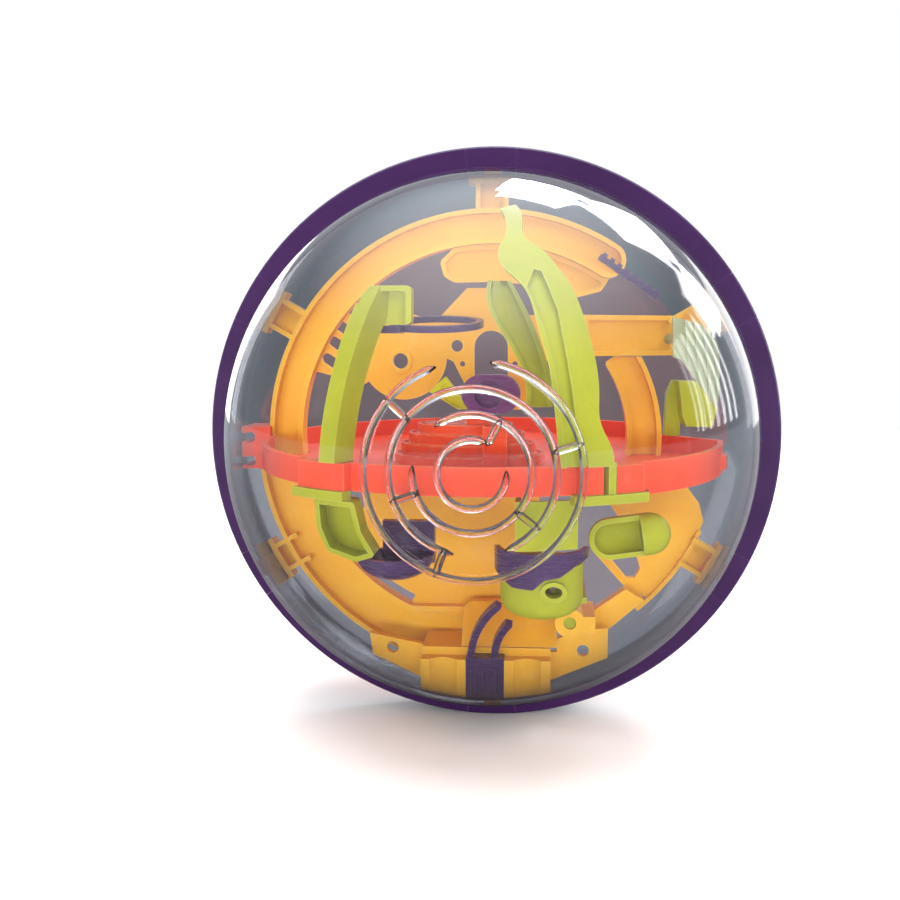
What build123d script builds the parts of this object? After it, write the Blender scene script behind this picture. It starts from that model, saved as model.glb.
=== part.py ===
from build123d import *
import math
import os

# Hand-held tilt maze: a clear two-part sphere clamped by an equator band, with a ball track inside.
#
# Units are mm. The origin is the centre of the sphere, +X is right, +Y is back and +Z is up.
# The front of the maze faces -Y, and the band lies in the XZ plane.

# Casing
BAND_R = 100.0  # outer radius of the band
BAND_HALF = 7.5  # half of the band's width
BAND_WALL = 2.0
BAND_CHAMFER = 0.6
BAND_IN = 92.9  # inner radius of the band's side walls
DOME_R = 92.5
DOME_WALL = 1.8
FLANGE_R = 97.5  # outer radius of the dome flanges, under the band's web
FLANGE_T = 2.0
LIP_T = 2.0  # radial thickness of the hooked lip on each flange
LIP_REACH = 5.2  # how far the lip stands from the middle plane
RIM_GAP = 0.05  # half of the gap between the two flanges
FEET = (30, 90, 150, 210, 270, 330)  # angles of the frame feet, from +X towards +Z
CLIP_SPAN = 10.0  # degrees that one band clip covers
SEAM = 0.04  # degrees left open at each end of a band piece

# Room inside the casing
ROOM_R = DOME_R - DOME_WALL - 0.3
FIT = 0.1  # clearance between neighbouring pieces

# Frame
RING_IN = 68.0
RING_OUT = 80.0
RING_START = 57.0
RING_END = 261.0
RING_WIDENS = 188.0  # angle where the outer lip steps outwards
RING_FLAT = 246.5  # angle where the inner lip gives way to the straight ridge
RING_WIDE_OUT = 84.5
WEB = 2.0  # thickness of the frame's plates
LIP = 1.6  # thickness of the frame's lips
LIP_H = 4.0  # how far the lips stand forward of the plates
FOOT_HALF = 5.6
FOOT_END_HALF = 8.0
TONGUE_HALF = 3.0
TONGUE_T = 2.2
TONGUE_R = 96.5

# Equator tray
TRAY_R = 83.0  # how far the tray reaches to the front and back
TRAY_SIDE = 80.0  # how far it reaches to the sides
TRAY_WALL = 1.8
TRAY_TOP = 0.5
TRAY_BOTTOM = -7.5
TRAY_SKIRT = -9.0  # bottom of the deeper wall at the right
TRAY_FLOOR = 1.6
TRAY_STEP_X = 56.0  # right of this the tray stops close behind the middle plane
TRAY_STEP_Y = 16.0
EAR_END = 89.3
EAR_HALF = 7.0
RIM_BLOCK_H = 7.6
CLIP_T = 2.6

# Track strips that follow the sphere
STRIP_R = 87.0  # outer radius of the arches
STRIP_DEPTH = 8.0
STRIP_WALL = 1.5
SLIDE_R = 63.0  # outer radius of the inner slide

# Ball and its cup
BALL_R = 3.572
BALL_GAP = 0.03  # clearance under the ball
CUP_X = 18.0
CUP_Y = -60.0
CUP_R = 12.2
CUP_WALL = 1.6
CUP_TOP = -30.0
CUP_FLOOR = -39.6  # top face of the cup's floor
CUP_BOTTOM = -45.6
ORBIT_R = 6.9  # radius of the ball's path in the cup
ORBIT_ANGLE = -60.0  # where the ball rests on that path
BALL_X = CUP_X + ORBIT_R * math.cos(math.radians(ORBIT_ANGLE))

# Peg that pins the cup to the frame
PEG_X = 27.5
PEG_Z = -60.5
PEG_R = 2.1
BOSS_R = 5.0
BOSS_FRONT = -24.0
BOSS_BACK = -14.0
ARM_HALF = 4.0  # half width of the cup's arm
ARM_T = 1.7

# Base
BASE_FRONT = -26.0
BASE_BACK = -LIP_H - FIT
DECK_TOP = -70.5
FEET_TOP = -73.2
BASE_LEFT = -23.0
BASE_RIGHT = 21.0
TAB_Y = -14.0
TAB_T = 2.6
BLOCK_X0 = -7.6
BLOCK_X1 = 5.3
BLOCK_TOP = -72.6
APRON_LEFT = -9.6
APRON_RIGHT = 23.2
APRON_TOP = -58.0


# Helpers

def plate(outline, back, depth):
    """Prism of an outline drawn in X and Z, from Y = back towards the front."""
    return extrude(Plane.XZ.offset(-back) * outline, amount=depth, dir=(0, -1, 0))


def slab(outline, bottom, height):
    """Prism of an outline drawn in X and Y, from Z = bottom upwards."""
    return extrude(Plane.XY.offset(bottom) * outline, amount=height, dir=(0, 0, 1))


def block(x0, x1, y0, y1, z0, z1):
    """Box between two corners."""
    return Pos((x0 + x1) / 2, (y0 + y1) / 2, (z0 + z1) / 2) * Box(x1 - x0, y1 - y0, z1 - z0)


def rect(x0, x1, y0, y1):
    """Rectangle between two corners."""
    return Pos((x0 + x1) / 2, (y0 + y1) / 2) * Rectangle(x1 - x0, y1 - y0)


def rounded(points, radius):
    """Polygon with every corner rounded."""
    shape = Polygon(*points, align=None)
    return fillet(shape.vertices(), radius)


def swing(profile, start, end):
    """Turn a profile of X (radial) and Y about the Y axis, from angle start to end towards +Z."""
    axis = Axis((0, 0, 0), (0, -1, 0))
    return Rot(0, -start, 0) * revolve(profile, axis=axis, revolution_arc=end - start)


def meridian(profile, low, high, azimuth, lean=0.0):
    """Sweep a profile of X (radial) and Y (to the right) up the sphere between two elevations.

    Azimuth 0 faces the front and grows to the right. A positive lean tips the strip's top left.
    """
    return Rot(0, 0, azimuth - 90) * Rot(lean, 0, 0) * swing(profile, low, high)


def at_angle(angle):
    """Placement that turns the +X direction to an angle of the middle plane."""
    return Rot(0, -angle, 0)


def inside(solid, radius=ROOM_R):
    """Part of a solid that fits in the clear sphere."""
    return solid & Sphere(radius)


def between(solid, low, high):
    """Part of a solid between two levels."""
    return solid & block(-BAND_R, BAND_R, -BAND_R, BAND_R, low, high)


def polar(radius, angle):
    """Point of the XZ plane at a radius and an angle in degrees."""
    a = math.radians(angle)
    return radius * math.cos(a), radius * math.sin(a)


# Casing

def dome(side):
    """Clear hemisphere with a flange and a hooked lip; side is -1 for the front and 1 for the back."""
    shell = Sphere(DOME_R) - Sphere(DOME_R - DOME_WALL)
    size = 2 * BAND_R
    near, far = sorted((side * RIM_GAP, side * size))
    shell &= block(-size, size, near, far, -size, size)
    near, far = sorted((side * RIM_GAP, side * FLANGE_T))
    flange = plate(Circle(FLANGE_R) - Circle(DOME_R - DOME_WALL), far, far - near)
    near, far = sorted((side * RIM_GAP, side * LIP_REACH))
    lip = plate(Circle(FLANGE_R) - Circle(FLANGE_R - LIP_T), far, far - near)
    body = shell + flange + lip
    for angle in FEET:
        body -= at_angle(angle) * tongue_room()
    return body


def tongue_room():
    """Space that the tongue of one frame foot takes between the flanges."""
    half = TONGUE_HALF + 2 * FIT
    return block(ROOM_R - 5, TONGUE_R + FIT, -TONGUE_T / 2 - FIT, TONGUE_T / 2 + FIT, -half, half)


def band_profile():
    """C-shaped section of the band, open towards the centre."""
    edge = BAND_HALF - BAND_CHAMFER
    web = BAND_R - BAND_WALL
    wall = BAND_HALF - BAND_WALL
    upper = [
        (BAND_R, edge),
        (BAND_R - BAND_CHAMFER, BAND_HALF),
        (BAND_IN, BAND_HALF),
        (BAND_IN, wall),
        (web, wall),
    ]
    lower = [(x, -y) for x, y in reversed(upper)]
    return Polygon(*upper, *lower, align=None)


def band_piece(middle, span):
    """Arc of the band about one angle of the middle plane."""
    half = span / 2 - SEAM
    return swing(band_profile(), middle - half, middle + half)


def band_segments():
    """Six long arcs of the band, between the clips."""
    step = 360 / len(FEET)
    return [band_piece(angle + step / 2, step - CLIP_SPAN) for angle in FEET]


def band_clips():
    """Six short arcs that close the band over the frame's feet."""
    return [band_piece(angle, CLIP_SPAN) for angle in FEET]


# Yellow frame

def foot(angle, start=RING_OUT):
    """Ribbed stem with a T end against the clear wall and a tongue between the flanges."""
    half = FOOT_HALF
    stem = block(start - 0.6, ROOM_R, 0, WEB, -half, half)
    ribs = [block(start - 0.6, ROOM_R, -LIP_H, WEB, z, z + LIP) for z in (-half, half - LIP)]
    end_half = FOOT_END_HALF
    end = block(ROOM_R - 2.2, ROOM_R, -LIP_H, WEB, -end_half, end_half)
    tongue = block(
        ROOM_R - 2.2, TONGUE_R, -TONGUE_T / 2, TONGUE_T / 2, -TONGUE_HALF, TONGUE_HALF
    )
    return at_angle(angle) * (inside(Part() + [stem, *ribs, end]) + tongue)


def track_profile(r_in, r_out):
    """Section of a plate with a lip along both edges, open to the front."""
    floor = rect(r_in, r_out, 0, WEB)
    inner = rect(r_in, r_in + LIP, -LIP_H, WEB)
    outer = rect(r_out - LIP, r_out, -LIP_H, WEB)
    return floor + inner + outer


def main_ring():
    """Open ring track with one rounded end and three feet."""
    track = swing(track_profile(RING_IN, RING_OUT), RING_START, RING_WIDENS)
    track += swing(track_profile(RING_IN, RING_WIDE_OUT), RING_WIDENS, RING_FLAT)
    floor_and_lip = track_profile(RING_IN, RING_WIDE_OUT) - rect(RING_IN - 1, RING_IN + LIP, -LIP_H, 0)
    track += swing(floor_and_lip, RING_FLAT, RING_END)
    half = (RING_OUT - RING_IN) / 2
    x, z = ring_end()
    end = plate(Pos(x, z) * Circle(half), WEB, WEB)
    end += plate(Pos(x, z) * (Circle(half) - Circle(half - LIP)), WEB, WEB + LIP_H)
    inner = rect(RING_IN + LIP, RING_OUT - LIP, -LIP_H, 0)
    end -= swing(inner, RING_START, RING_START + 30)
    ring = track + end
    for angle in (90, 150, 210):
        ring += foot(angle)
    return ring


def ring_end():
    """Centre of the ring's rounded end."""
    return polar((RING_IN + RING_OUT) / 2, RING_START)


def lipped(outline, inset, back=WEB, web=WEB, lip=LIP_H):
    """Plate with a raised lip around its whole outline."""
    rim = outline - offset(outline, amount=-inset)
    return plate(outline, back, web) + plate(rim, back, web + lip)


def upper_lobe_tray():
    """Crescent catch tray that hangs under the top of the ring and wraps its rounded end."""
    outline = [(-18.4, 62), (-17, 56.8), (-13.5, 54.8), (0, 55), (14, 54), (30, 49.6), (38, 51.6)]
    shape = rounded([*outline, (42.5, 58.7), (36, 66), (20, 70), (-10, 70)], 2.0)
    shape -= sector(RING_IN - FIT, RING_OUT, RING_START, 180)
    shape -= Pos(*ring_end()) * Circle((RING_OUT - RING_IN) / 2 + FIT)
    return lipped(shape, LIP, lip=2.0)


def panel_blank():
    """Centre web before its openings, with a round lobe at the left and an arm to the ring."""
    arm = Polygon((-66, 24), (-46, 19), (-30, 30), (-19, 41), (-52, 44), (-62, 38), align=None)
    lobe = Pos(-31.9, 28.8) * Circle(15.4)
    band = Polygon(
        (-33, 41), (-20, 41.5), (-9, 52.9), (2, 52.9), (6, 43.4), (32, 43.4), (32, 29),
        (16, 27), (12, 10), (-6, 10), (-9.5, 18), (-14, 27), (-20, 30), (-33, 30),
        align=None,
    )
    body = plate(lobe, WEB, WEB) + plate(arm, WEB, WEB) + plate(band, WEB, WEB)
    return body - plate(Circle(90) - Circle(RING_IN - FIT), 2 * WEB, 4 * WEB)


def window_panel():
    """Centre web with a tall slot, three screw holes and slanted openings near the ring."""
    cuts = [Pos(-0.6, 25) * SlotOverall(26, 12, rotation=90)]
    for x, z, radius in ((-33, 27.2, 2.8), (-12.7, 32.6, 2.1), (-10.8, 26.2, 1.0), (7.9, 26.2, 1.0)):
        cuts.append(Pos(x, z) * Circle(radius))
    for x, z, length in ((-53, 38.6, 11), (-55, 32.6, 9), (-57.5, 26.6, 9)):
        cuts.append(Pos(x, z) * SlotOverall(length, 3.8, rotation=-35))
    body = panel_blank() + plate(Pos(-33, 27.2) * Circle(4.2), WEB, WEB + 0.8)
    for cut in cuts:
        body -= plate(cut, 2 * WEB, 4 * WEB)
    return body


def right_bar():
    """Bar from the centre web to the upper right foot."""
    shape = Polygon((32.1, 43.4), (32.1, 29), (65, 29.4), (68, 36), (66, 43.0), align=None)
    return lipped(shape, LIP, lip=2.0) + foot(30, 74)


def inner_curve():
    """C-shaped strip that comes down from the bar to the tray."""
    curve = swing(track_profile(47.5, 59.5), -10, 34)
    room = block(40, 70, -10, 10, TRAY_BOTTOM + TRAY_FLOOR + FIT, 28.9)
    return curve & room


def sector(r_in, r_out, start, end):
    """Flat annular sector."""
    outer = CenterArc((0, 0), r_out, start, end - start)
    inner = CenterArc((0, 0), r_in, start, end - start)
    sides = [Line(outer @ 0, inner @ 0), Line(outer @ 1, inner @ 1)]
    return make_face([outer, inner, *sides])


def lobe_scoop():
    """Broad lower right lobe with one foot and a thin arm around a U-shaped opening."""
    outline = [
        (41, TRAY_BOTTOM - FIT), (64, TRAY_BOTTOM - FIT), (69, -17), (73.5, -23), (75.2, -29.6),
        (71.3, -40.2), (64, -51.1), (56.5, -57.6), (50.7, -56.2), (47.4, -53.4), (35.2, -39.9),
        (36.6, -38.4), (43.3, -44.6), (48.3, -50.6), (51.2, -50.6), (53.2, -47.2), (50, -36), (41, -22),
    ]
    lip = swing(rect(RING_OUT, RING_OUT + 1.4, -2.5, 0.5), -50, -24)
    return plate(rounded(outline, 0.8), WEB, WEB + 1) + lip + foot(330, RING_OUT)


def lower_panel():
    """Web from the tray down to the base, with a curved slot beside the ring."""
    top = TRAY_BOTTOM - FIT
    shape = rounded([(-38, top), (14, top), (20, -40), (25, -60), (22, -72), (-30, -72), (-56, -44)], 1.5)
    shape &= Circle(RING_IN - FIT)
    shape -= sector(64.8, RING_IN + 1, -137, -116)
    body = plate(shape, WEB, WEB)
    ridge = rect(-29, APRON_LEFT - FIT, -63.0, -61.4) & Circle(RING_IN - FIT)
    return body + plate(ridge, 0.5, LIP_H + 0.5)


def hinge_strut():
    """Bar from the lower right lobe to the boss that holds the peg."""
    boss = plate(Pos(PEG_X, PEG_Z) * Circle(BOSS_R), BOSS_BACK, BOSS_BACK - BOSS_FRONT)
    bar = Polygon((31.7, -63.8), (47.3, -52.6), (53.9, -56.4), (41.9, -66.8), (34, -68), align=None)
    arm = plate(bar, BASE_BACK, 5.0)
    clear = PEG_X + ARM_HALF + FIT
    low, high = PEG_Z - 3.5, PEG_Z + 2
    neck = plate(rect(clear, clear + 4.5, low, high), BASE_BACK, BASE_BACK - BOSS_FRONT - 1)
    web = plate(rect(PEG_X, clear + 4.5, low, high), BOSS_BACK, BOSS_BACK - BOSS_FRONT - 1)
    return boss + arm + neck + web - peg_hole()


def peg_hole():
    """Hole that the peg passes through, with its fit."""
    return plate(Pos(PEG_X, PEG_Z) * Circle(PEG_R + 0.05), 10, 60)


def base_block():
    """Bottom block: a deck, a drilled tab at each side and two fluted feet."""
    size = BAND_R
    left = Polygon((-42.2, -67.5), (-22, -71.5), (-22, -84.0), (-41, -75.1), align=None)
    inner = APRON_RIGHT + FIT
    right = Polygon(
        (18, FEET_TOP), (inner, FEET_TOP), (inner, -68.5), (27.5, -66.8), (33.2, -65), (40.8, -64.4),
        (40.8, -74.8), (18, -84.6),
        align=None,
    )
    body = plate(left, TAB_Y, TAB_T) + plate(right, TAB_Y, TAB_T)
    body += block(BASE_LEFT, BASE_RIGHT, BASE_FRONT + 5, BASE_BACK, -size, DECK_TOP)
    body += block(-20, 20, BASE_BACK - 1, WEB, -size, -RING_WIDE_OUT - 0.7)
    body += foot_columns(BASE_LEFT, BLOCK_X0 - FIT) + foot_columns(BLOCK_X1 + FIT, BASE_RIGHT)
    body -= block(BLOCK_X0 - FIT, BLOCK_X1 + FIT, BASE_FRONT - 1, -10, -size, BLOCK_TOP + FIT)
    for x in (-34.1, 32.3):
        body -= plate(Pos(x, -72.5) * Circle(2.1), 0, 30)
    body = inside(body)
    return body + at_angle(270) * block(
        ROOM_R - 6, TONGUE_R, -TONGUE_T / 2, TONGUE_T / 2, -TONGUE_HALF, TONGUE_HALF
    )


def foot_columns(x0, x1):
    """One foot, with a shallow flute down its front."""
    body = block(x0, x1, BASE_FRONT, TAB_Y, -BAND_R, FEET_TOP)
    middle = (x0 + x1) / 2
    flute = Pos(middle, BASE_FRONT - 4, -80) * Cylinder(6.2, 60)
    return body - flute


def base_apron():
    """Sloped front face above the deck, whose left side is the stop wall of the ring track."""
    low = DECK_TOP + FIT
    side = Polygon(
        (BASE_BACK, APRON_TOP), (BASE_BACK, low), (BASE_FRONT + 6, low), (-12, -62), (-8, APRON_TOP),
        align=None,
    )
    slope = extrude(Plane.YZ.offset(APRON_LEFT) * side, amount=APRON_RIGHT - APRON_LEFT, dir=(1, 0, 0))
    return fillet(slope.edges().filter_by(Axis.Y).group_by(Axis.Z)[-1], 3.0)


# Red-orange tray and mound

def equator_tray():
    """Oval tray across the middle, with blocks on its rim, an ear at the left and a lug at the right."""
    rim = tray_outline(0) - tray_outline(TRAY_WALL)
    body = slab(rim, TRAY_BOTTOM, TRAY_TOP - TRAY_BOTTOM) + slab(tray_outline(0), TRAY_BOTTOM, TRAY_FLOOR)
    body += slab(rim, TRAY_SKIRT, TRAY_TOP - TRAY_SKIRT) & slab(sector(60, 90, -54, 5), -20, 40)
    for azimuth, span in ((-31, 12), (21.5, 4.5), (29.5, 6)):
        body += rim_block(azimuth, span)
    lug = sector(TRAY_SIDE - 1.5, TRAY_SIDE + 1.6, -19, -13)
    body += slab(lug, TRAY_BOTTOM, 4.5) + tray_ear()
    return body - block(-RING_OUT - 0.4, -RING_IN + 1.6, -LIP_H - 0.4, WEB + 0.4, -20, 6)


def tray_outline(inset):
    """Oval moved inwards, without the part behind a slanted edge at the right."""
    x, y = TRAY_STEP_X - inset, TRAY_STEP_Y - 0.4 * inset
    behind = Polygon((x, y), (x + 56, y - 60), (x + 56, BAND_R), (x, BAND_R), align=None)
    return Ellipse(TRAY_SIDE - inset, TRAY_R - inset) - behind


def rim_block(azimuth, span):
    """Block that thickens the rim where a clip hooks on."""
    height = RIM_BLOCK_H
    face = sector(TRAY_R - 1, TRAY_R + 3, azimuth - 90 - span / 2, azimuth - 90 + span / 2)
    return slab(face, TRAY_TOP - height, height)


def tray_ear():
    """Ear at the left end of the tray, with two pin holes that open to the side."""
    ear = block(-EAR_END, -TRAY_SIDE + 1, -EAR_HALF, EAR_HALF, TRAY_SKIRT - 2, TRAY_TOP + 3.5)
    for z in (TRAY_TOP - 0.3, TRAY_BOTTOM - 0.8):
        ear -= Pos(-EAR_END + 3, 0, z) * Rot(90, 0, 0) * Cylinder(1.95, 20)
        ear -= block(-EAR_END - 1, -EAR_END + 2, -EAR_HALF - 1, EAR_HALF + 1, z - 1.5, z + 1.5)
    return ear


def spiral_mound():
    """Wide hill of stepped ovals, each with a groove, and a block that carries the tunnel's foot."""
    base = TRAY_BOTTOM + TRAY_FLOOR + FIT
    body = Part()
    steps = ((25.0, -2.4), (22.4, 1.0), (19.4, 4.2), (16.0, 7.2))
    for count, (half, top) in enumerate(steps):
        centre = Pos(-6.3 - 0.5 * count, -23 + 0.6 * count)
        body += slab(centre * Ellipse(half, 0.8 * half), base, top - base)
        groove = Ellipse(half - 1, 0.8 * half - 1) - Ellipse(half - 2.4, 0.8 * half - 2.4)
        body -= slab(centre * groove, top - 0.7, 1)
    body += block(-0.5, 7.0, -44, -30, base, 7.8)
    return body - cap_block(FIT)


def cap_block(grow):
    """Square block under the tunnel, or the pocket for it when it is grown."""
    return block(-6.8 - grow, 0.8 + grow, -30 - grow, -20 + grow, 3.5 - grow, 10.9)


def mound_cap():
    """Small square block set into the top of the mound, under the tunnel."""
    return cap_block(0)


# Lime-green tracks

def left_arch():
    """Channel up the left front, open inwards, with a rimmed cheek at its flat top."""
    half = 2.8
    top = 49.7
    section = rect(STRIP_R - STRIP_DEPTH, STRIP_R, -half, half) - rect(
        STRIP_R - STRIP_DEPTH - 1, STRIP_R - STRIP_WALL, STRIP_WALL - half, half - STRIP_WALL
    )
    arch = between(meridian(section, -3, 42, -28.6, -5), TRAY_TOP + FIT, top)
    arch -= corner_cut(-28.8, top, 5.0)
    face = rounded([(-31.5, 38.8), (-19.2, 38.8), (-19.2, top), (-31.5, top)], 1.2)
    rim = face - Pos(-STRIP_WALL, -STRIP_WALL) * face
    return arch + plate(face, -60.2, 1.8) + plate(rim, -60.2, 5.4)


def corner_cut(x, z, radius):
    """Material outside a rounded top left corner whose arc ends at the level z above x."""
    corner = block(x - 3 * radius, x, -BAND_R, -40, z - radius, z + 1)
    return corner - Pos(x, -70, z - radius) * Rot(90, 0, 0) * Cylinder(radius, 2 * BAND_R)


def centre_arch():
    """Broad arch up the right front: a shallow channel, a rib on its right and a slim neck on top."""
    low = TRAY_TOP + FIT
    right = [(37.3, low), (36.9, 5.0), (33.6, 12.5), (33.2, 20.2), (30, 37.9), (26, 48.7),
             (21.3, 55.7), (16.4, 60.9), (12.5, 63.9), (11.6, 70.5), (9.3, 75.2)]
    left = [(4.9, 73.5), (7.1, 68.7), (7.0, 63.8), (5.4, 59.9), (6.3, 55.5), (11.9, 49.9),
            (16.7, 37.8), (19.4, 28.7), (20.7, 21), (23.2, low)]
    channel = Polygon(
        (24.7, -1), (22.1, 21), (20.8, 28.7), (18.1, 37.8), (13.6, 49), (15.5, 54), (17.5, 53.5),
        (22, 42.5), (24.6, 28.7), (25.9, 21), (28.5, -1),
        align=None,
    )
    body = curved_plate(smooth_outline(right, left), STRIP_R - STRIP_DEPTH, STRIP_R)
    body -= curved_plate(channel, STRIP_R - 2, STRIP_R + 2)
    hollow = smooth_outline(right[:6], left[5:], STRIP_WALL)
    body -= curved_plate(hollow, STRIP_R - STRIP_DEPTH - 1, STRIP_R - 3.6)
    rib = sector(TRAY_R + FIT, STRIP_R - 0.3, 24.6 - 90, 26.1 - 90)
    return body + slab(rib, TRAY_TOP - RIM_BLOCK_H, RIM_BLOCK_H + 1)


def smooth_outline(right, left, inset=0.0):
    """Face between two smooth sides moved inwards; the right runs up and the left runs down."""
    up = Spline(*[(x - inset, z) for x, z in right])
    down = Spline(*[(x + inset, z) for x, z in left])
    return make_face([up, Line(up @ 1, down @ 0), down, Line(down @ 1, up @ 0)])


def curved_plate(outline, r_in, r_out):
    """Piece of a spherical shell seen from the front as an XZ outline."""
    return plate(outline, -20, BAND_R) & (Sphere(r_out) - Sphere(r_in))


def inner_slide():
    """Slide behind the centre arch, from the upper tray down beside the tunnel."""
    right = [(20.9, 15.0), (20.6, 21.0), (18.7, 29.6), (12.6, 44.3), (7.8, 53.0)]
    left = [(0.6, 53.4), (2.0, 42.8), (6.3, 35.7), (11.6, 26.8), (12.8, 14.9)]
    body = curved_plate(smooth_outline(right, left), SLIDE_R - 5, SLIDE_R)
    return body - curved_plate(smooth_outline(right, left, 1.4), SLIDE_R - 1.5, SLIDE_R + 1)


def ramp_fin():
    """Folded ramp behind the tunnel."""
    ridge = Polygon((-21, 17), (-15.6, 22), (-7.4, 11.2), (-11, 10.9), align=None)
    body = plate(ridge, -8, 6)
    groove = plate(Polygon((-19, 16), (-15.8, 19.6), (-9, 11.6), (-11, 11.4), align=None), -10, 5)
    return body - groove


def right_hook():
    """Upright strip on the slanted edge of the tray, with a hood that opens to the back."""
    strip = rounded([(61.5, TRAY_TOP + FIT), (62.1, 15.7), (64.0, 20.4), (66.8, 20.4),
                     (66.9, TRAY_TOP + FIT)], 0.8)
    hood = Polygon((64.5, 20.6), (70.5, 20.4), (77.6, 11), (76.2, 4.9), (67.4, 5.0), (66.0, 8.6), align=None)
    room = plate(offset(hood, amount=-1.4), 4, 10.5)
    return plate(strip, 9, 6) + (plate(hood, 3.5, 12) - room)


def upper_right_fin():
    """Ribbed panel that follows the sphere beside the upper right foot, on a pin from the bar."""
    outline = Polygon(
        (56.3, 41.2), (66.7, 39.3), (73.4, 34.3), (73.0, 26.6), (70.1, 14.2), (58, 28.8), (55.5, 29.5),
        align=None,
    )
    body = curved_plate(outline, 84, 85.5)
    for x in (60, 63.5, 67, 70.5):
        body += curved_plate(outline & rect(x, x + 1, 0, 50), 85, 86.2)
    pin = plate(Pos(62, 35) * Circle(1.8), -FIT, 60) & Sphere(84.5)
    return body + pin


def shelf_clips():
    """Two thin clips under the rim that lock the arches to the tray."""
    body = []
    for start, end in ((-38, -25), (18, 33)):
        face = sector(TRAY_R + FIT, TRAY_R + 4.2, start - 90, end - 90)
        body.append(slab(face, clip_bottom(), CLIP_T))
    return body


def clip_bottom():
    """Level of the underside of the shelf clips."""
    return TRAY_TOP - RIM_BLOCK_H - FIT - CLIP_T


def lower_left_chute():
    """Channel that carries on below the left clip and flares to the right at its lower end."""
    top = clip_bottom() - FIT
    corners = [
        (-46, top), (-45.8, -18.7), (-43, -25.5), (-33.9, -27.5), (-27.8, -25.1), (-31.6, -18.5), (-33.3, top),
    ]
    outline = rounded(corners, 1.2)
    room = curved_plate(offset(outline, amount=-STRIP_WALL), STRIP_R - STRIP_DEPTH + 1.6, STRIP_R + 1)
    return curved_plate(outline, STRIP_R - STRIP_DEPTH, STRIP_R) - room


def cup_chute():
    """Channel open to the back that leads from under the tray to the ball cup."""
    x0, x1 = 10.8, 28.0
    top = TRAY_SKIRT - FIT
    outline = rect(x0, x1, -23.4, top)
    body = curved_plate(outline, 74, 82)
    return body - curved_plate(rect(x0 + STRIP_WALL, x1 - STRIP_WALL, -30, 0), 70, 80.4)


def capsule_cup():
    """Tilted capsule, open to the front over its left part."""
    radius = 6.2
    body = capsule(11.6, radius) - capsule(11.6, radius - 1.4)
    body -= block(-20, 3.4, -10, -1.5, -10, 10)
    body += Pos(4.2, 0, 0) * Rot(0, 90, 0) * Cylinder(radius - 1, 1.6)
    return Pos(43.5, -60, -22.4) * Rot(0, -8, 0) * body


def capsule(length, radius):
    """Cylinder along X with a round end at each side."""
    body = Rot(0, 90, 0) * Cylinder(radius, length)
    return body + Pos(length / 2, 0, 0) * Sphere(radius) + Pos(-length / 2, 0, 0) * Sphere(radius)


def ball_cup():
    """Round-bottomed cup that holds the ball, with an eyelet in front and an arm down to the peg."""
    outer = Pos(CUP_X, CUP_Y) * slab(Circle(CUP_R), CUP_BOTTOM, CUP_TOP - CUP_BOTTOM)
    outer = fillet(outer.edges().sort_by(Axis.Z)[0], 5.8)
    room = Pos(CUP_X, CUP_Y) * slab(Circle(CUP_R - CUP_WALL), CUP_FLOOR, 30)
    left, right = PEG_X - ARM_HALF, PEG_X + ARM_HALF
    back = BOSS_BACK + FIT + ARM_T
    top = CUP_BOTTOM + 1.6 + ARM_T
    arm = block(left, right, -56, back, CUP_BOTTOM + 1.6, top)
    drop = block(left, right, BOSS_BACK + FIT, back, PEG_Z - ARM_HALF, top)
    eye = Pos(BALL_X, CUP_FLOOR + BALL_R)
    ring = plate(eye * Ellipse(3.7, 2.9), -69, 4.4)
    return outer + arm + drop + ring - room - plate(eye * Ellipse(2.5, 1.7), -62, 15) - peg_hole()


def green_peg():
    """Peg through the boss and the cup's arm, with its head behind the arm."""
    back = BOSS_BACK + 2 * FIT + ARM_T
    peg = plate(Pos(PEG_X, PEG_Z) * Circle(PEG_R), back, back - BOSS_FRONT - 1.2)
    head = plate(Pos(PEG_X, PEG_Z) * Circle(PEG_R + 1), back + 1.3, 1.3)
    return peg + head


# Purple pieces

def drop_hoop():
    """Thin hoop under the end of the left arch, a little lower at its front."""
    radius = 14.5
    hoop = Pos(-14.6, -44, 39.4) * Rot(8, 0, 0) * slab(Circle(radius) - Circle(radius - 2.2), -1, 2)
    return hoop + block(-29.5, -23.5, -60, -50.5, 36.4, 38.6)


def tunnel_cup():
    """Oval collar with a round bore, on a stem from the centre web."""
    collar = plate(Pos(1.2, 17.2) * SlotOverall(19, 12.4), -24, 7)
    stem = plate(Pos(1.2, 20.0) * SlotOverall(9, 5), -FIT, 24)
    bore = plate(Pos(0.4, 17.2) * Circle(4.6), -27, 10)
    return collar + stem - bore


def tray_gate():
    """Small gate that stands in the tray at the left."""
    base = TRAY_BOTTOM + TRAY_FLOOR + FIT
    return block(-49, -43.5, -36, -33, base, 1.5)


def boat_dish():
    """Boat-shaped dish under the front of the tray, with an upright box behind it."""
    bowl = scale(Sphere(1), (11.5, 10, 7)) - scale(Sphere(1), (10, 8.5, 5.6))
    bowl &= block(-20, 20, -20, 20, -20, 0.5)
    return Pos(-25.8, -57, -30) * (bowl + block(-5, 11, 6, 9.4, -3.5, 9.4))


def cup_hood():
    """Curved visor in front of the cup's mouth, lower at its left."""
    face = Pos(CUP_X, CUP_Y) * sector(CUP_R + FIT, CUP_R + 1.7, -175, -8)
    outline = Polygon(
        (3, -25.2), (33, -25.2), (33, -27.5), (28.2, -28.8), (23.3, -31.8), (18.9, -32.4),
        (15.6, -35.4), (9.6, -35.2), (3, -31),
        align=None,
    )
    return slab(face, -36, 12) & plate(outline, -30, 60)


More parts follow.
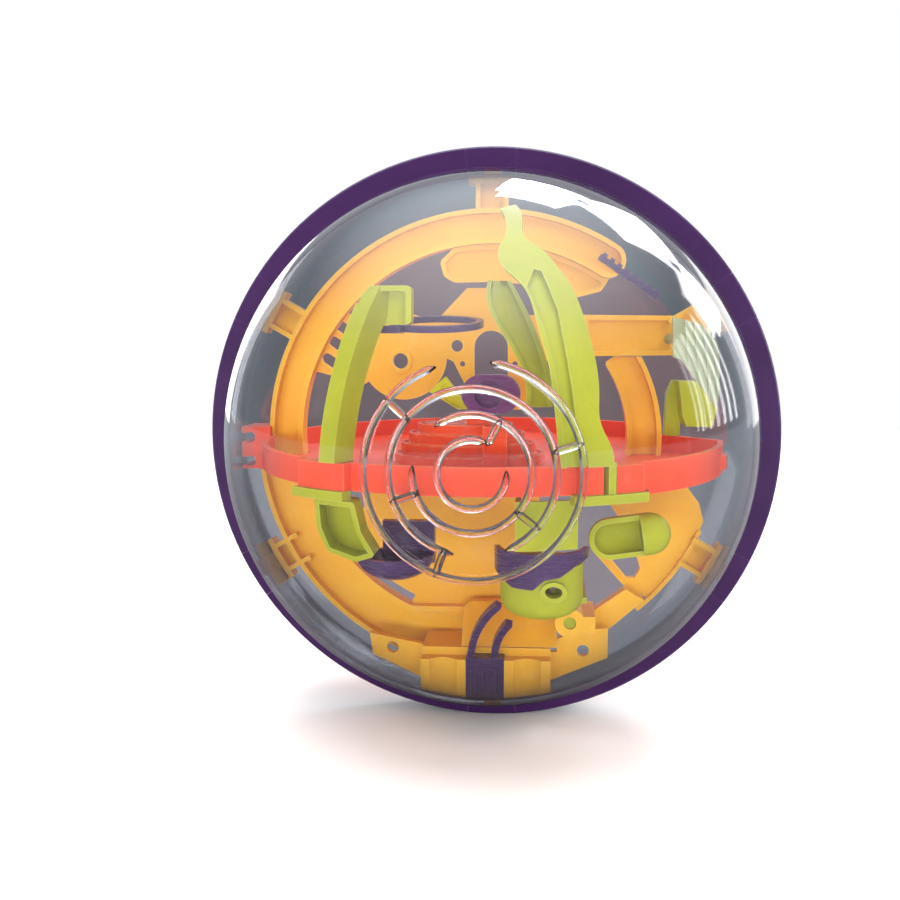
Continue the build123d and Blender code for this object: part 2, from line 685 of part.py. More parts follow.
def rail_pair():
    """Ribbed block between the feet, with two curved rails rising from it."""
    body = block(BLOCK_X0, BLOCK_X1, BASE_FRONT, -10 - FIT, -BAND_R, BLOCK_TOP)
    step = (BLOCK_X1 - BLOCK_X0) / 3
    for count in range(3):
        x = BLOCK_X0 + (count + 0.5) * step
        body -= block(x - 0.7, x + 0.7, BASE_FRONT - 1, BASE_FRONT + 0.8, -BAND_R, -77)
    body = inside(body)
    return body + rail(-6.0, 4.2, 23.1) + rail(2.0, 7.6, 17.1)


def rail(x, top_x, height):
    """Curved rail, thin from front to back."""
    low = BASE_FRONT + 1.4
    start = BLOCK_TOP - 0.5
    path = Spline((x, low, start), (x + 0.25 * (top_x - x), low - 6, start + 0.5 * height),
                  (top_x, low - 14, start + height))
    section = Plane(origin=path @ 0, z_dir=path % 0) * Rectangle(2.4, 2.4)
    return sweep(section, path=path)


def stair_strip():
    """Toothed strip beside the rounded end of the ring."""
    body = block(0, 24, -14, -11.8, -1, 1)
    for step in range(8):
        body += block(0.6 + 3 * step, 2.2 + 3 * step, -14, -10.6, -1, 2)
    return Pos(36.5, 0, 62.4) * Rot(0, 35, 0) * body


def steel_ball():
    """Playing ball, on the floor of its cup."""
    y = CUP_Y + ORBIT_R * math.sin(math.radians(ORBIT_ANGLE))
    return Pos(BALL_X, y, CUP_FLOOR + BALL_R + BALL_GAP) * Sphere(BALL_R)


PIECES = {
    "front_dome": lambda: dome(-1),
    "rear_dome": lambda: dome(1),
    "band_segments": band_segments,
    "band_clips": band_clips,
    "main_ring": main_ring,
    "upper_lobe_tray": upper_lobe_tray,
    "window_panel": window_panel,
    "right_bar": right_bar,
    "inner_curve": inner_curve,
    "lobe_scoop": lobe_scoop,
    "lower_panel": lower_panel,
    "hinge_strut": hinge_strut,
    "base_block": base_block,
    "base_apron": base_apron,
    "equator_tray": equator_tray,
    "spiral_mound": spiral_mound,
    "mound_cap": mound_cap,
    "left_arch": left_arch,
    "centre_arch": centre_arch,
    "inner_slide": inner_slide,
    "ramp_fin": ramp_fin,
    "right_hook": right_hook,
    "upper_right_fin": upper_right_fin,
    "shelf_clips": shelf_clips,
    "lower_left_chute": lower_left_chute,
    "cup_chute": cup_chute,
    "capsule_cup": capsule_cup,
    "ball_cup": ball_cup,
    "green_peg": green_peg,
    "drop_hoop": drop_hoop,
    "tunnel_cup": tunnel_cup,
    "tray_gate": tray_gate,
    "boat_dish": boat_dish,
    "cup_hood": cup_hood,
    "rail_pair": rail_pair,
    "stair_strip": stair_strip,
    "steel_ball": steel_ball,
}

os.makedirs("parts", exist_ok=True)
for name, build in PIECES.items():
    made = build()
    solids = made if isinstance(made, list) else [made]
    shape = Compound(children=[s for item in solids for s in item.solids()])
    export_step(shape, f"parts/{name}.step")
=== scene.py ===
"""Looks for the hand-held tilt maze: materials, the raised motif on the clear shell, light and camera."""
import math

import bmesh
import bpy
from mathutils import Matrix, Vector


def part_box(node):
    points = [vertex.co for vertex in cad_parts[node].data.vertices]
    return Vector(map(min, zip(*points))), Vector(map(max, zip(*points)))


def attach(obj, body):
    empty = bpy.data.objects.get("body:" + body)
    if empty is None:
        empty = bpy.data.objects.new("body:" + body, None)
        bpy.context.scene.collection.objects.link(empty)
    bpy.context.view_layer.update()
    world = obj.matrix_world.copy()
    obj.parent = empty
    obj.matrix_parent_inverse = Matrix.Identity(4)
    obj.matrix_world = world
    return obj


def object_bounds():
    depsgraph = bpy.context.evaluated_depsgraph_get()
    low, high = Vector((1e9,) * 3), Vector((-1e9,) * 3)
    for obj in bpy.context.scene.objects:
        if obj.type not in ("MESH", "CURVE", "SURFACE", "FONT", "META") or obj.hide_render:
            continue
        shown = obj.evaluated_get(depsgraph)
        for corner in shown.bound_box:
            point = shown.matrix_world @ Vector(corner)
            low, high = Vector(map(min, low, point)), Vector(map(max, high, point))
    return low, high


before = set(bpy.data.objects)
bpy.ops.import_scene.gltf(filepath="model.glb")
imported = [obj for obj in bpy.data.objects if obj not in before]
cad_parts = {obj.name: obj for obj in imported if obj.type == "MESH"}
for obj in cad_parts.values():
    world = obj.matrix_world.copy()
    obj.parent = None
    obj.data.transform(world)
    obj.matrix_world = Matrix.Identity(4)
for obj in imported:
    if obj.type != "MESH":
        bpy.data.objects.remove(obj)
CAD_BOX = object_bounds()

MM = 0.001
BODY = "maze"

# Camera, as the object was seen: distances in metres, angles in degrees
VIEW_AZIMUTH = 3.4
VIEW_ELEVATION = 6.0
VIEW_DISTANCE = 0.320
LENS = 35.68
SENSOR = 36.0
SHIFT_X = -0.0474
SHIFT_Y = -0.0142

# Studio
FLOOR_HALF = 12.0
FADE_START, FADE_END = 0.25, 1.2
ROOM_GREY = (0.125, 0.165, 0.188)  # seen through the shell, far away
ROOM_FLOOR = (0.36, 0.385, 0.43)  # seen through the shell, on the floor close by
FLOOR_MIRROR = (0.07, 0.06, 0.07)  # mirrored in the shell, on the floor close by
FAR_MIRROR = (0.48, 0.50, 0.54)

# Sky mirrored in the shell: colours by the upward and the backward part of the direction
SKY_BY_HEIGHT = (
    (0.0, (0.08, 0.08, 0.09)), (0.4, (0.16, 0.18, 0.21)), (0.8, (0.50, 0.55, 0.60)), (1.0, (0.6, 0.63, 0.66)),
)
SKY_BY_DEPTH = ((0.1, (0.06, 0.06, 0.07)), (0.7, (0.36, 0.37, 0.41)), (1.0, (0.58, 0.59, 0.64)))
ZENITH_LIFT = 3.0  # how much brighter the sky gets straight above

# Slats of a window blind at the right, in a row around the object
BLIND_SLATS = 6
BLIND_START, BLIND_STEP = 3.0, 5.0  # degrees from +X towards the back
BLIND_DISTANCE, BLIND_HEIGHT = 1.5, 0.42  # metres
SLAT_WIDTH, SLAT_LENGTH = 0.035, 0.75  # metres
SLAT_POWER = 0.55  # watts

# Nodes by material
YELLOW = ("main_ring", "upper_lobe_tray", "window_panel", "right_bar", "inner_curve", "lobe_scoop",
          "lower_panel", "hinge_strut", "base_block", "base_apron")
ORANGE = ("equator_tray",)
MOUND = ("spiral_mound", "mound_cap")
LIME = ("left_arch", "centre_arch", "inner_slide", "shelf_clips", "lower_left_chute", "cup_chute",
        "capsule_cup", "ball_cup", "green_peg")
PURPLE = ("drop_hoop", "tray_gate", "boat_dish", "cup_hood", "rail_pair", "stair_strip")
BAND = ("band_segments", "band_clips")
CLEAR = ("front_dome", "rear_dome")
BALL = ("steel_ball",)

EDGE_WIDTH = 0.35 * MM  # of the rounded edges on moulded pieces
SHARP_ANGLE = 32  # degrees; edges flatter than this are shaded smooth


# Node helpers

def new_material(name):
    """Empty node material, its node tree and its output node."""
    material = bpy.data.materials.new(name)
    material.use_nodes = True
    tree = material.node_tree
    tree.nodes.clear()
    return material, tree, tree.nodes.new("ShaderNodeOutputMaterial")


def add(tree, kind, values=None, **settings):
    """Node with its settings and input values."""
    node = tree.nodes.new(kind)
    for key, value in settings.items():
        setattr(node, key, value)
    for key, value in (values or {}).items():
        node.inputs[key].default_value = value
    return node


def link(tree, source, socket, target, entry):
    """Join one node's output to another node's input."""
    tree.links.new(source.outputs[socket], target.inputs[entry])


def ramp(tree, source, socket, stops):
    """Colour ramp fed by one output; stops are (place, grey or colour)."""
    node = add(tree, "ShaderNodeValToRGB")
    elements = node.color_ramp.elements
    for count, (place, value) in enumerate(stops):
        element = elements[count] if count < 2 else elements.new(place)
        element.position = place
        element.color = (*value, 1) if isinstance(value, tuple) else (value, value, value, 1)
    link(tree, source, socket, node, "Fac")
    return node


def noise(tree, scale, detail=3.0, rough=0.5, stretch=(1, 1, 1)):
    """Noise in object space, in cycles per metre, stretched along the axes."""
    place = add(tree, "ShaderNodeTexCoord")
    mapping = add(tree, "ShaderNodeMapping", {"Scale": stretch})
    link(tree, place, "Object", mapping, "Vector")
    node = add(tree, "ShaderNodeTexNoise", {"Scale": scale, "Detail": detail, "Roughness": rough})
    link(tree, mapping, "Vector", node, "Vector")
    return node


def edge_mask(tree, radius):
    """Grey value that is bright along sharp edges."""
    bevel = add(tree, "ShaderNodeBevel", {"Radius": radius}, samples=4)
    flat = add(tree, "ShaderNodeNewGeometry")
    dot = add(tree, "ShaderNodeVectorMath", operation="DOT_PRODUCT")
    link(tree, bevel, "Normal", dot, 0)
    link(tree, flat, "Normal", dot, 1)
    return ramp(tree, dot, "Value", ((0.72, 1.0), (0.985, 0.0)))


def mix_colour(tree, first, second, blend="MIX", amount=0.5):
    """Mix of two colours, each a colour or (node, socket), by a number or (node, socket)."""
    node = add(tree, "ShaderNodeMix", data_type="RGBA", blend_type=blend)
    for entry, value in ((6, first), (7, second)):
        if hasattr(value[0], "outputs"):
            tree.links.new(value[0].outputs[value[1]], node.inputs[entry])
        else:
            node.inputs[entry].default_value = (*value, 1)
    if isinstance(amount, tuple):
        tree.links.new(amount[0].outputs[amount[1]], node.inputs[0])
    else:
        node.inputs[0].default_value = amount
    return node


def moulded_plastic(name, base, deep, edge_highlight_colour, roughness=0.34, glow=0.0, edge_highlight=0.55, scuff=1.0):
    """Moulded plastic: flow-marked colour, a painted highlight that pales the sharp edges, fine scratches and
    uneven gloss.
    """
    material, tree, out = new_material(name)
    flow = noise(tree, 22, 4, 0.55, (1, 1, 2.2))
    fine = noise(tree, 900, 2, 0.5)
    scratch = noise(tree, 240, 6, 0.7, (1, 1, 14))
    tone = ramp(tree, flow, "Fac", ((0.34, deep), (0.66, base)))
    speck = ramp(tree, fine, "Fac", ((0.32, 0.88), (0.6, 1.0)))
    body = mix_colour(tree, (tone, "Color"), (speck, "Color"), "MULTIPLY", 0.5)
    # painted highlight: sharp edges are mixed towards a paler colour, in place of light caught along them
    edge_highlight_mask = edge_mask(tree, 0.0006)
    edge_highlight_share = add(tree, "ShaderNodeMath", {1: edge_highlight}, operation="MULTIPLY")
    link(tree, edge_highlight_mask, "Color", edge_highlight_share, 0)
    colour = mix_colour(tree, (body, 2), edge_highlight_colour, "MIX", (edge_highlight_share, "Value"))
    shader = add(tree, "ShaderNodeBsdfPrincipled", {
        "IOR": 1.49, "Subsurface Weight": glow, "Subsurface Radius": (1.0, 0.8, 0.45),
        "Subsurface Scale": 0.003, "Specular IOR Level": 0.5, "Coat Weight": 0.12, "Coat Roughness": 0.12,
    })
    link(tree, colour, 2, shader, "Base Color")
    smooth, rough = roughness - 0.07 * scuff, roughness + 0.12 * scuff
    gloss = ramp(tree, scratch, "Fac", ((0.3, smooth), (0.72, rough)))
    link(tree, gloss, "Color", shader, "Roughness")
    height = mix_colour(tree, (fine, "Fac"), (scratch, "Fac"), "MIX", 0.4)
    bump = add(tree, "ShaderNodeBump", {"Strength": 0.12 * scuff, "Distance": 0.0002})
    link(tree, height, 2, bump, "Height")
    link(tree, bump, "Normal", shader, "Normal")
    link(tree, shader, "BSDF", out, "Surface")
    return material


def blend_in(tree, shader, share):
    """Mix a second shader into the one that reaches the material's output."""
    out = next(n for n in tree.nodes if n.type == "OUTPUT_MATERIAL")
    first = out.inputs["Surface"].links[0].from_socket
    both = add(tree, "ShaderNodeMixShader", {0: share})
    tree.links.new(first, both.inputs[1])
    link(tree, shader, "BSDF", both, 2)
    link(tree, both, "Shader", out, "Surface")


def lit_plastic(name, base, deep, edge_highlight_colour, share=0.3):
    """Thin translucent moulded plastic that lets light through."""
    material = moulded_plastic(name, base, deep, edge_highlight_colour, 0.3)
    tree = material.node_tree
    surface = next(n for n in tree.nodes if n.type == "BSDF_PRINCIPLED")
    through = add(tree, "ShaderNodeBsdfTranslucent")
    tree.links.new(surface.inputs["Base Color"].links[0].from_socket, through.inputs["Color"])
    blend_in(tree, through, share)
    return material


def see_through(material, share):
    """Let a share of the light pass straight through a material."""
    tree = material.node_tree
    clear = add(tree, "ShaderNodeBsdfTransparent", {"Color": (0.96, 0.98, 0.94, 1)})
    blend_in(tree, clear, share)
    return material


def mirror_share(tree, boost):
    """Share of light that a thin clear wall mirrors: small when faced, full at grazing angles."""
    facing = add(tree, "ShaderNodeLayerWeight", {"Blend": 0.5})
    power = add(tree, "ShaderNodeMath", {1: 5.0}, operation="POWER")
    link(tree, facing, "Facing", power, 0)
    share = add(tree, "ShaderNodeMath", {1: 0.95 * boost, 2: 0.04 * boost}, operation="MULTIPLY_ADD",
                use_clamp=True)
    link(tree, power, "Value", share, 0)
    return share


def clear_plastic(name, face_tint, rim_tint, boost=1.0):
    """Clear moulded shell: see-through, greyer at grazing angles, with a mirror-like, scuffed skin."""
    material, tree, out = new_material(name)
    facing = add(tree, "ShaderNodeLayerWeight", {"Blend": 0.32})
    tint = ramp(tree, facing, "Facing", ((0.25, face_tint), (0.97, rim_tint)))
    through = add(tree, "ShaderNodeBsdfTransparent")
    link(tree, tint, "Color", through, "Color")
    scuff = noise(tree, 90, 6, 0.72, (1, 5, 1))
    smear = noise(tree, 14, 3, 0.5)
    skin = add(tree, "ShaderNodeBsdfGlossy", {"Color": (1, 1, 1, 1)})
    dull = ramp(tree, smear, "Fac", ((0.42, 0.02), (0.7, 0.11)))
    link(tree, dull, "Color", skin, "Roughness")
    bump = add(tree, "ShaderNodeBump", {"Strength": 0.012, "Distance": 0.0003})
    link(tree, scuff, "Fac", bump, "Height")
    link(tree, bump, "Normal", skin, "Normal")
    share = mirror_share(tree, boost)
    both = add(tree, "ShaderNodeMixShader")
    link(tree, share, "Value", both, 0)
    link(tree, through, "BSDF", both, 1)
    link(tree, skin, "BSDF", both, 2)
    haze = add(tree, "ShaderNodeBsdfDiffuse", {"Color": (0.75, 0.77, 0.8, 1)})
    dust = ramp(tree, scuff, "Fac", ((0.55, 0.003), (0.85, 0.05)))
    last = add(tree, "ShaderNodeMixShader")
    link(tree, dust, "Color", last, 0)
    link(tree, both, "Shader", last, 1)
    link(tree, haze, "BSDF", last, 2)
    link(tree, last, "Shader", out, "Surface")
    return material


def ridge_plastic(name):
    """Raised clear ridges: real refraction, so that their sides show bright and dark lines."""
    material, tree, out = new_material(name)
    wave = noise(tree, 160, 3, 0.5)
    shader = add(tree, "ShaderNodeBsdfPrincipled", {
        "Base Color": (0.96, 0.96, 0.97, 1), "Transmission Weight": 1.0, "IOR": 1.49, "Roughness": 0.04,
    })
    bump = add(tree, "ShaderNodeBump", {"Strength": 0.1, "Distance": 0.0003})
    link(tree, wave, "Fac", bump, "Height")
    link(tree, bump, "Normal", shader, "Normal")
    rough = ramp(tree, wave, "Fac", ((0.3, 0.02), (0.8, 0.09)))
    link(tree, rough, "Color", shader, "Roughness")
    link(tree, shader, "BSDF", out, "Surface")
    return material


def ball_steel(name):
    """Polished steel ball with faint rolling marks."""
    material, tree, out = new_material(name)
    marks = noise(tree, 1500, 4, 0.6, (1, 1, 6))
    tone = ramp(tree, marks, "Fac", ((0.3, (0.62, 0.62, 0.64)), (0.7, (0.82, 0.82, 0.84))))
    gloss = ramp(tree, marks, "Fac", ((0.35, 0.1), (0.75, 0.24)))
    shader = add(tree, "ShaderNodeBsdfPrincipled", {"Metallic": 1.0})
    link(tree, tone, "Color", shader, "Base Color")
    link(tree, gloss, "Color", shader, "Roughness")
    bump = add(tree, "ShaderNodeBump", {"Strength": 0.05, "Distance": 0.0001})
    link(tree, marks, "Fac", bump, "Height")
    link(tree, bump, "Normal", shader, "Normal")
    link(tree, shader, "BSDF", out, "Surface")
    return material


# Smooth shading and soft edges

def smooth_group(limit):
    """Geometry nodes that drop stored normals, then shade smooth except at edges sharper than limit."""
    group = bpy.data.node_groups.new("smooth_by_edge", "GeometryNodeTree")
    group.interface.new_socket("Geometry", in_out="INPUT", socket_type="NodeSocketGeometry")
    group.interface.new_socket("Geometry", in_out="OUTPUT", socket_type="NodeSocketGeometry")
    start = group.nodes.new("NodeGroupInput")
    end = group.nodes.new("NodeGroupOutput")
    drop = group.nodes.new("GeometryNodeRemoveAttribute")
    drop.inputs["Name"].default_value = "custom_normal"
    angle = group.nodes.new("GeometryNodeInputMeshEdgeAngle")
    test = group.nodes.new("FunctionNodeCompare")
    test.data_type = "FLOAT"
    test.operation = "LESS_THAN"
    test.inputs[1].default_value = math.radians(limit)
    edges = group.nodes.new("GeometryNodeSetShadeSmooth")
    edges.domain = "EDGE"
    faces = group.nodes.new("GeometryNodeSetShadeSmooth")
    faces.domain = "FACE"
    faces.inputs["Shade Smooth"].default_value = True
    group.links.new(start.outputs[0], drop.inputs["Geometry"])
    group.links.new(drop.outputs["Geometry"], edges.inputs["Geometry"])
    group.links.new(angle.outputs["Unsigned Angle"], test.inputs[0])
    group.links.new(test.outputs["Result"], edges.inputs["Shade Smooth"])
    group.links.new(edges.outputs["Geometry"], faces.inputs["Geometry"])
    group.links.new(faces.outputs["Geometry"], end.inputs[0])
    return group


def soften(obj, group, width):
    """Rounded moulded edges on a sharp solid, unless the width is zero."""
    if width:
        bevel = obj.modifiers.new("edges", "BEVEL")
        bevel.width = width
        bevel.segments = 2
        bevel.limit_method = "ANGLE"
        bevel.angle_limit = math.radians(SHARP_ANGLE)
        bevel.miter_outer = "MITER_ARC"
    shade = obj.modifiers.new("shading", "NODES")
    shade.node_group = group


def paint(node, material):
    """Give one CAD node a material in every slot."""
    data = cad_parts[node].data
    for count in range(max(1, len(data.materials))):
        if count < len(data.materials):
            data.materials[count] = material
        else:
            data.materials.append(material)


# Raised motif on the clear shell: a plain round labyrinth

DOME_R = -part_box("front_dome")[0].y
MOTIF_RINGS = (9.0, 15.5, 22.0, 29.0)  # mm from the pole, measured across the sphere
MOTIF_GAPS = ((35, 28), (150, 22), (275, 18), (95, 14))  # middle and half width of the gaps, degrees
MOTIF_SPOKES = ((62, 0, 1), (200, 1, 2), (320, 1, 2), (15, 2, 3), (140, 2, 3), (250, 2, 3))  # angle, rings
SPOKE_OVERLAP = 0.6  # mm that a spoke reaches into its rings
RIDGE_WIDTH = 2.1 * MM
RIDGE_HEIGHT = 1.1 * MM
RIDGE_SINK = 0.05 * MM  # how deep a ridge starts under the shell's skin
RIDGE_STEPS = 8  # faces across the round of a ridge


def on_dome(radius_mm, angle, lift=0.0):
    """Point on the front of the sphere, a distance from the pole and an angle from +X towards +Z."""
    ring = radius_mm * MM
    depth = math.sqrt(max(DOME_R**2 - ring**2, 0))
    a = math.radians(angle)
    point = Vector((ring * math.cos(a), -depth, ring * math.sin(a)))
    return point * (1 + lift / DOME_R)


def ridge_along(bm, points):
    """Half-round ridge along a row of points on the sphere, with closed, rounded ends."""
    rows = []
    for count, point in enumerate(points):
        before = points[max(count - 1, 0)]
        after = points[min(count + 1, len(points) - 1)]
        along = (after - before).normalized()
        outward = point.normalized()
        side = along.cross(outward).normalized()
        end = min(count, len(points) - 1 - count)
        grow = min(1.0, 0.25 + 0.3 * end)
        row = []
        for step in range(RIDGE_STEPS + 1):
            turn = math.pi * step / RIDGE_STEPS
            offset = side * (math.cos(turn) * RIDGE_WIDTH / 2 * grow)
            lift = outward * (math.sin(turn) * RIDGE_HEIGHT * grow - RIDGE_SINK)
            row.append(bm.verts.new(point + offset + lift))
        rows.append(row)
    for first, second in zip(rows, rows[1:]):
        for step in range(RIDGE_STEPS):
            bm.faces.new((first[step], first[step + 1], second[step + 1], second[step]))
        bm.faces.new((first[RIDGE_STEPS], first[0], second[0], second[RIDGE_STEPS]))
    bm.faces.new(rows[0])
    bm.faces.new(list(reversed(rows[-1])))


def piece_from(bm, name, material):
    """Object made of a bmesh, riding with the maze."""
    bmesh.ops.recalc_face_normals(bm, faces=bm.faces)
    data = bpy.data.meshes.new(name)
    bm.to_mesh(data)
    bm.free()
    for polygon in data.polygons:
        polygon.use_smooth = True
    data.materials.append(material)
    obj = bpy.data.objects.new(name, data)
    bpy.context.scene.collection.objects.link(obj)
    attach(obj, BODY)
    return obj


def shell_motif(material):
    """Broken rings and short spokes, as a generic maze sign."""
    bm = bmesh.new()
    for radius, (gap, half) in zip(MOTIF_RINGS, MOTIF_GAPS):
        start, end = gap + half, gap + 360 - half
        count = max(12, int((end - start) * radius / 50))
        ridge_along(bm, [on_dome(radius, start + (end - start) * k / count) for k in range(count + 1)])
    for angle, inner, outer in MOTIF_SPOKES:
        low, high = MOTIF_RINGS[inner] - SPOKE_OVERLAP, MOTIF_RINGS[outer] + SPOKE_OVERLAP
        ridge_along(bm, [on_dome(low + (high - low) * k / 16, angle) for k in range(17)])
    return piece_from(bm, "shell_motif", material)


# Stage, light and camera

def through_shell(tree):
    """Node that is 1 where the eye looks through the clear shell, and 0 elsewhere."""
    path = add(tree, "ShaderNodeLightPath")
    passed = add(tree, "ShaderNodeMath", {1: 0.5}, operation="GREATER_THAN")
    link(tree, path, "Transparent Depth", passed, 0)
    seen = add(tree, "ShaderNodeMath", operation="MULTIPLY")
    link(tree, passed, "Value", seen, 0)
    link(tree, path, "Is Camera Ray", seen, 1)
    return seen


def mirrored(tree, plain, in_mirror):
    """Colour that is plain's, and in_mirror's where it is seen in a reflection."""
    path = add(tree, "ShaderNodeLightPath")
    return mix_colour(tree, plain, in_mirror, "MIX", (path, "Is Glossy Ray"))


def make_floor():
    """Plain pale floor under the band, which fades into the white studio far away."""
    material, tree, out = new_material("floor_paper")
    mottle = noise(tree, 6, 4, 0.6)
    tone = ramp(tree, mottle, "Fac", ((0.3, 0.9), (0.7, 0.93)))
    colour = mirrored(tree, (tone, "Color"), FLOOR_MIRROR)
    paper = add(tree, "ShaderNodeBsdfPrincipled", {"Roughness": 0.7})
    link(tree, colour, 2, paper, "Base Color")
    place = add(tree, "ShaderNodeNewGeometry")
    away = add(tree, "ShaderNodeVectorMath", operation="LENGTH")
    link(tree, place, "Position", away, 0)
    fade = add(tree, "ShaderNodeMapRange", {"From Min": FADE_START, "From Max": FADE_END})
    link(tree, away, "Value", fade, "Value")
    seen = through_shell(tree)
    room = mix_colour(tree, ROOM_FLOOR, ROOM_GREY, "MIX", (fade, "Result"))
    plain_colour = mix_colour(tree, (1.0, 1.0, 1.0), (room, 2), "MIX", (seen, "Value"))
    plain = add(tree, "ShaderNodeEmission")
    link(tree, mirrored(tree, (plain_colour, 2), FAR_MIRROR), 2, plain, "Color")
    share = add(tree, "ShaderNodeMath", operation="MAXIMUM")
    link(tree, fade, "Result", share, 0)
    link(tree, seen, "Value", share, 1)
    both = add(tree, "ShaderNodeMixShader")
    link(tree, share, "Value", both, 0)
    link(tree, paper, "BSDF", both, 1)
    link(tree, plain, "Emission", both, 2)
    link(tree, both, "Shader", out, "Surface")
    bm = bmesh.new()
    bmesh.ops.create_grid(bm, x_segments=1, y_segments=1, size=FLOOR_HALF)
    data = bpy.data.meshes.new("floor")
    bm.to_mesh(data)
    bm.free()
    data.materials.append(material)
    floor = bpy.data.objects.new("floor", data)
    floor.location.z = CAD_BOX[0].z
    bpy.context.scene.collection.objects.link(floor)


def area_light(name, place, target, width, height, power):
    """Rectangular soft light aimed at a point."""
    data = bpy.data.lights.new(name, "AREA")
    data.shape = "RECTANGLE"
    data.size = width
    data.size_y = height
    data.energy = power
    light = bpy.data.objects.new(name, data)
    light.location = place
    light.rotation_euler = (Vector(target) - Vector(place)).to_track_quat("-Z", "Y").to_euler()
    light.visible_camera = False
    bpy.context.scene.collection.objects.link(light)
    return light


def make_world():
    """White studio, grey where it is seen through the clear shell, with a soft sky in reflections."""
    world = bpy.data.worlds.new("studio")
    world.use_nodes = True
    tree = world.node_tree
    direct = mix_colour(tree, (1.0, 1.0, 1.0), ROOM_GREY, "MIX", (through_shell(tree), "Value"))
    place = add(tree, "ShaderNodeTexCoord")
    split = add(tree, "ShaderNodeSeparateXYZ")
    link(tree, place, "Generated", split, "Vector")
    sky = ramp(tree, split, "Z", SKY_BY_HEIGHT)
    side = ramp(tree, split, "Y", SKY_BY_DEPTH)
    around = mix_colour(tree, (sky, "Color"), (side, "Color"), "LIGHTEN", 1.0)
    both = mirrored(tree, (direct, 2), (around, 2))
    lift = add(tree, "ShaderNodeMapRange", {"From Min": 0.55, "From Max": 1.0, "To Max": ZENITH_LIFT})
    link(tree, split, "Z", lift, "Value")
    path = add(tree, "ShaderNodeLightPath")
    strength = add(tree, "ShaderNodeMath", {2: 1.0}, operation="MULTIPLY_ADD")
    link(tree, lift, "Result", strength, 0)
    link(tree, path, "Is Glossy Ray", strength, 1)
    background = tree.nodes["Background"]
    link(tree, both, 2, background, "Color")
    link(tree, strength, "Value", background, "Strength")
    bpy.context.scene.world = world


def make_lights():
    """Window-like panes behind, soft lights overhead and in front, and the slats of a blind."""
    make_world()
    for name, place, width, height, power in (
        ("pane_top", (0.22, 1.15, 1.42), 0.46, 0.5, 12),
        ("pane_high", (0.74, 1.15, 1.10), 0.54, 0.5, 11),
        ("pane_side", (1.22, 1.10, 0.74), 0.40, 0.40, 6),
        ("pane_glow", (1.15, 1.75, 0.12), 0.75, 1.3, 4.5),
        ("pane_left", (-1.25, 1.75, 0.25), 0.7, 1.0, 4),
        ("overhead", (-0.15, -0.45, 1.25), 0.8, 0.6, 11),
        ("front", (0.75, -1.2, 0.75), 0.6, 0.6, 10),
        ("low_front", (-0.1, -1.25, -0.02), 1.1, 0.16, 15),
    ):
        light = area_light(name, place, (0, 0, 0), width, height, power)
        light.visible_glossy = "pane" in name
    for count in range(BLIND_SLATS):
        a = math.radians(BLIND_START + BLIND_STEP * count)
        place = (BLIND_DISTANCE * math.cos(a), BLIND_DISTANCE * math.sin(a), BLIND_HEIGHT)
        area_light(f"slat_{count}", place, (0, 0, BLIND_HEIGHT), SLAT_WIDTH, SLAT_LENGTH, SLAT_POWER)


def make_camera():
    """Camera at the object's seen angle, with its frame shifted to place the sphere."""
    a, e = math.radians(VIEW_AZIMUTH), math.radians(VIEW_ELEVATION)
    back = Vector((math.sin(a) * math.cos(e), -math.cos(a) * math.cos(e), math.sin(e)))
    data = bpy.data.cameras.new("camera")
    data.lens = LENS
    data.sensor_width = SENSOR
    data.shift_x = SHIFT_X
    data.shift_y = SHIFT_Y
    data.clip_start = 0.01
    data.clip_end = 50
    camera = bpy.data.objects.new("camera", data)
    camera.location = back * VIEW_DISTANCE
    camera.rotation_euler = (-back).to_track_quat("-Z", "Y").to_euler()
    bpy.context.scene.collection.objects.link(camera)
    bpy.context.scene.camera = camera


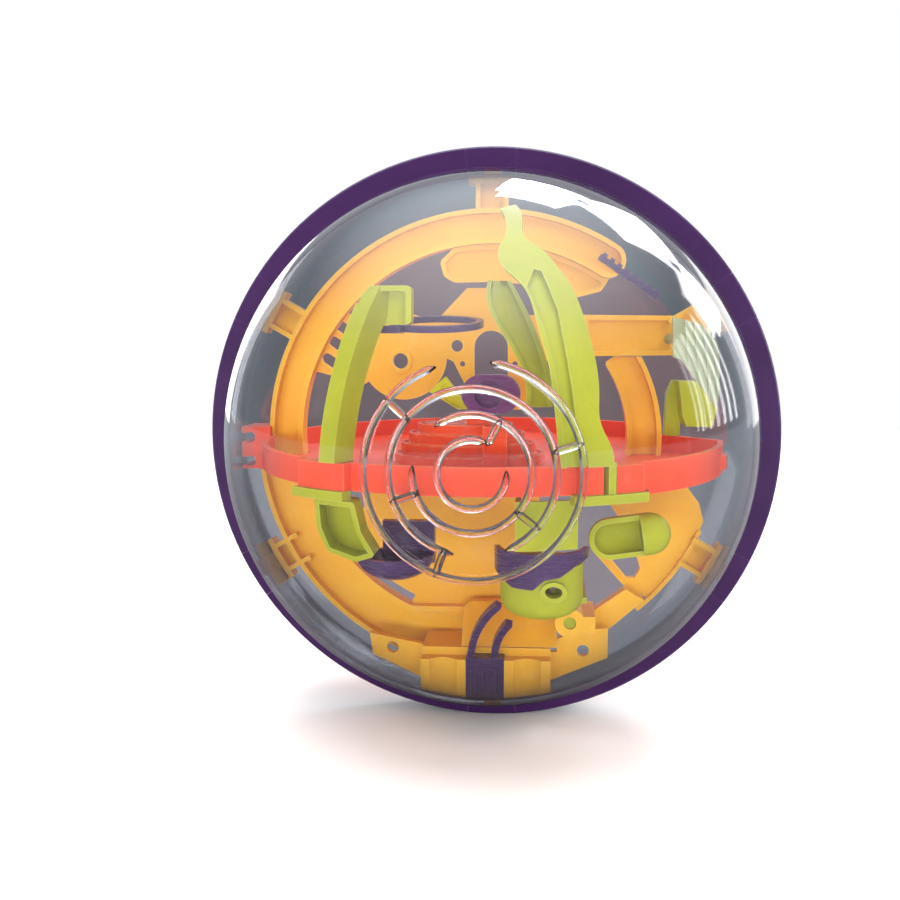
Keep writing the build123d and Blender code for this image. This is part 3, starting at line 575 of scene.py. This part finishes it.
def node_materials():
    """Every material of the CAD nodes, with the nodes that it covers."""
    return (
        (YELLOW, moulded_plastic("yellow_plastic", (0.90, 0.49, 0.03), (0.85, 0.43, 0.022),
                                 (0.98, 0.72, 0.2), glow=0.12)),
        (ORANGE, moulded_plastic("orange_plastic", (0.92, 0.085, 0.02), (0.84, 0.06, 0.015),
                                 (0.98, 0.3, 0.12), glow=0.12)),
        # the mound's red-orange, glossier and with a stronger painted edge highlight
        (MOUND, moulded_plastic("mound_plastic", (0.95, 0.10, 0.015), (0.70, 0.05, 0.01),
                                (1.0, 0.42, 0.2), 0.24, edge_highlight=0.85)),
        (LIME, lit_plastic("lime_plastic", (0.62, 0.62, 0.03), (0.52, 0.54, 0.025), (0.80, 0.86, 0.25))),
        # painted light: a brighter copy of the lime plastic, standing in for light shining through this fin
        # from behind
        (("ramp_fin",), lit_plastic("lime_painted_backlight", (0.90, 0.95, 0.02), (0.80, 0.88, 0.02),
                                    (0.9, 0.95, 0.25), 0.6)),
        # painted light: a lighter copy of the lime plastic, standing in for the light on the hook
        (("right_hook",), lit_plastic("lime_painted_light_hook", (0.66, 0.70, 0.03), (0.58, 0.62, 0.03),
                                      (0.9, 0.95, 0.3), 0.5)),
        # painted reflection: a paler, partly see-through copy of the lime plastic, standing in for the
        # shell's white reflection over this fin
        (("upper_right_fin",), see_through(
            lit_plastic("lime_painted_reflection", (0.62, 0.72, 0.46), (0.54, 0.64, 0.38), (0.85, 0.9, 0.7), 0.4), 0.3)),
        (PURPLE, moulded_plastic("purple_plastic", (0.085, 0.038, 0.12), (0.055, 0.026, 0.085),
                                 (0.2, 0.12, 0.26), 0.26, scuff=0.5)),
        (("tunnel_cup",), moulded_plastic("magenta_plastic", (0.20, 0.05, 0.20), (0.15, 0.035, 0.15),
                                          (0.3, 0.14, 0.32), 0.26, scuff=0.5)),
        (BAND, moulded_plastic("band_plastic", (0.034, 0.009, 0.058), (0.026, 0.007, 0.045),
                               (0.10, 0.045, 0.17), 0.3, scuff=0.35)),
        (CLEAR, clear_plastic("clear_plastic", (0.90, 0.91, 0.92), (0.62, 0.64, 0.68), 1.3)),
        (BALL, ball_steel("polished_steel")),
    )


def main():
    """Materials and soft edges for the CAD nodes, the raised motif, the stage, the lights and the camera."""
    shading = smooth_group(SHARP_ANGLE)
    for nodes, material in node_materials():
        for node in nodes:
            paint(node, material)
            soften(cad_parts[node], shading, 0 if nodes in (CLEAR, BALL) else EDGE_WIDTH)
    shell_motif(ridge_plastic("clear_ridge"))
    make_floor()
    make_lights()
    make_camera()
    bpy.context.scene.view_settings.view_transform = "Standard"


main()
